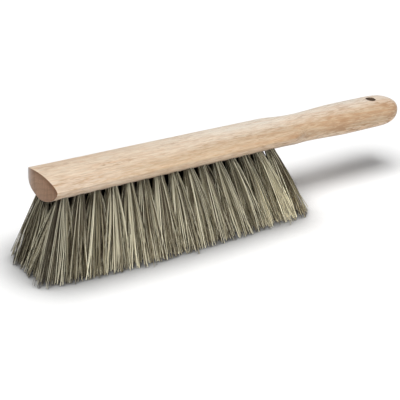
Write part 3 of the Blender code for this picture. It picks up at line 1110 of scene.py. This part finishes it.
class BRUSH_OT_make_bristles(bpy.types.Operator):
    """Grow the bristles of every tuft, one piece for each row"""

    bl_idname = "masonry_brush.make_bristles"
    bl_label = "Make Bristles"
    bl_options = {"REGISTER", "UNDO"}

    def execute(self, context):
        settings = context.scene.masonry_brush.bristles
        tree = bristle_tree(settings)
        material = bristle_material(settings)
        axes = tuft_axes()
        fan_out_end(axes)
        rows = sorted({row_of(name) for name in TUFT_NODES})
        for number, row in enumerate(rows):
            members = [name for name in TUFT_NODES if row_of(name) == row]
            places = [axes[name] for name in members]
            seed = settings.seed + ROW_SEED_STEP * number
            values = {"Material": material, "Seed": seed}
            piece = self.grow(row, places, tree, values)
            finish_piece(piece, members)
        bpy.data.node_groups.remove(tree)
        return {"FINISHED"}

    def grow(self, row, places, tree, values):
        """One row's bristles as a plain mesh."""
        mesh = bpy.data.meshes.new(row)
        mesh.from_pydata([mouth for mouth, _ in places], [], [])
        tips = mesh.attributes.new("tuft_tip", "FLOAT_VECTOR", "POINT")
        tips.data.foreach_set("vector", [c for _, tip in places for c in tip])
        piece = add_piece(row.replace("tuft", "bristles"), mesh)
        modifier = piece.modifiers.new("grow_bristles", "NODES")
        modifier.node_group = tree
        for socket in tree.interface.items_tree:
            if socket.in_out == "INPUT" and socket.name in values:
                modifier[socket.identifier] = values[socket.name]
        graph = bpy.context.evaluated_depsgraph_get()
        grown = bpy.data.meshes.new_from_object(
            piece.evaluated_get(graph), preserve_all_data_layers=True, depsgraph=graph
        )
        piece.modifiers.clear()
        piece.data = grown
        return piece


# Stage


SENSOR_WIDTH = 36.0
NEAREST_SEEN = 0.01


class BRUSH_OT_make_stage(bpy.types.Operator):
    """Make the pale floor, the soft light and the camera"""

    bl_idname = "masonry_brush.make_stage"
    bl_label = "Make Stage"
    bl_options = {"REGISTER", "UNDO"}

    def execute(self, context):
        scene = context.scene
        stage = scene.masonry_brush.stage
        self.make_floor(stage)
        self.make_world(scene, stage)
        for name in ("key", "fill"):
            self.make_lamp(scene, stage, name)
        self.make_camera(scene, stage)
        scene.view_settings.view_transform = "Standard"
        return {"FINISHED"}

    def seen_directly(self, nodes):
        """1 where the eye sees a surface directly, mirrored or through glass."""
        path = nodes.add("ShaderNodeLightPath").outputs
        seen = nodes.math("MAXIMUM", path["Is Camera Ray"], path["Is Glossy Ray"])
        return nodes.math("MAXIMUM", seen, path["Is Transmission Ray"])

    def make_floor(self, stage):
        """A matt floor that looks white, darker only where the brush is near it."""
        half = stage.floor_size / 2
        mesh = bpy.data.meshes.new("floor")
        corners = ((-half, -half), (half, -half), (half, half), (-half, half))
        mesh.from_pydata([(x, y, 0.0) for x, y in corners], [], [(0, 1, 2, 3)])
        floor = add_piece("floor", mesh)
        made, nodes, shader = plain_material("white_floor")
        made.node_tree.nodes.remove(shader)
        near = nodes.add(
            "ShaderNodeAmbientOcclusion", {"Distance": stage.contact_reach}
        ).outputs["AO"]
        openness = nodes.math("POWER", near, stage.contact_depth)
        openness = nodes.math("MAXIMUM", openness, stage.contact_least)
        seen = self.seen_directly(nodes)
        albedo = nodes.blend(seen, stage.floor_albedo, openness, kind="FLOAT")
        matt = nodes.add("ShaderNodeBsdfDiffuse", {"Color": albedo})
        glow = nodes.product(nodes.product(seen, stage.floor_glow), openness)
        glow = nodes.add("ShaderNodeEmission", {"Strength": glow})
        both = nodes.add("ShaderNodeAddShader", {0: matt, 1: glow})
        output = made.node_tree.nodes["Material Output"]
        nodes.feed(output.inputs["Surface"], both)
        mesh.materials.append(made)

    def make_world(self, scene, stage):
        """White where it is seen, and a little even light from all round."""
        world = bpy.data.worlds.new("studio")
        world.use_nodes = True
        scene.world = world
        nodes = NodeMaker(world.node_tree)
        seen = self.seen_directly(nodes)
        level = nodes.blend(seen, stage.world_level, 1.0, kind="FLOAT")
        background = world.node_tree.nodes["Background"].inputs
        nodes.feed(background["Strength"], level)
        nodes.feed(background["Color"], (1.0, 1.0, 1.0))

    def make_lamp(self, scene, stage, name):
        """A wide, distant lamp, so that the floor is lit evenly."""
        data = bpy.data.lights.new(f"{name}_light", "SUN")
        data.energy = getattr(stage, f"{name}_level") * math.pi
        data.angle = getattr(stage, f"{name}_softness")
        lamp = bpy.data.objects.new(data.name, data)
        direction = Vector(getattr(stage, f"{name}_direction"))
        lamp.rotation_euler = direction.to_track_quat("Z", "Y").to_euler()
        scene.collection.objects.link(lamp)

    def make_camera(self, scene, stage):
        """The viewpoint of the photograph, from the fitted angles."""
        tilt, turn, roll = stage.down_tilt, stage.heading, stage.roll
        right = Vector((math.cos(turn), -math.sin(turn), 0))
        ahead = math.cos(tilt)
        forward = Vector((math.sin(turn) * ahead, math.cos(turn) * ahead, -math.sin(tilt)))
        up = right.cross(forward)
        rolled_right = right * math.cos(roll) + up * math.sin(roll)
        rolled_up = up * math.cos(roll) - right * math.sin(roll)
        data = bpy.data.cameras.new("camera")
        data.lens = stage.lens
        data.sensor_width = SENSOR_WIDTH
        data.clip_start = NEAREST_SEEN
        camera = bpy.data.objects.new("camera", data)
        scene.collection.objects.link(camera)
        line = scene.masonry_brush.wood.widest_line
        place = Vector((WOOD_LOW.x, 0, line)) + Vector(stage.camera_place)
        axes = Matrix((rolled_right, rolled_up, -forward)).transposed().to_4x4()
        camera.matrix_world = Matrix.Translation(place) @ axes
        scene.camera = camera


class BRUSH_PT_sidebar(bpy.types.Panel):
    """Lists the steps that make the brush"""

    bl_label = "Masonry Brush"
    bl_idname = "BRUSH_PT_sidebar"
    bl_space_type = "VIEW_3D"
    bl_region_type = "UI"
    bl_category = "Masonry Brush"

    def draw(self, context):
        settings = context.scene.masonry_brush
        for operator, group in (
            (BRUSH_OT_make_wood, settings.wood),
            (BRUSH_OT_make_bristles, settings.bristles),
            (BRUSH_OT_make_stage, settings.stage),
        ):
            box = self.layout.box()
            box.operator(operator.bl_idname)
            for name in group.bl_rna.properties.keys():
                if name not in {"rna_type", "name"}:
                    box.prop(group, name)


CLASSES = (
    WoodSettings,
    BristleSettings,
    StageSettings,
    BrushSettings,
    BRUSH_OT_make_wood,
    BRUSH_OT_make_bristles,
    BRUSH_OT_make_stage,
    BRUSH_PT_sidebar,
)


def register():
    for item in CLASSES:
        bpy.utils.register_class(item)
    bpy.types.Scene.masonry_brush = PointerProperty(type=BrushSettings)


def unregister():
    del bpy.types.Scene.masonry_brush
    for item in reversed(CLASSES):
        bpy.utils.unregister_class(item)


def main():
    """Make everything in order."""
    register()
    bpy.ops.masonry_brush.make_wood()
    bpy.ops.masonry_brush.make_bristles()
    bpy.ops.masonry_brush.make_stage()


if __name__ == "__main__":
    main()
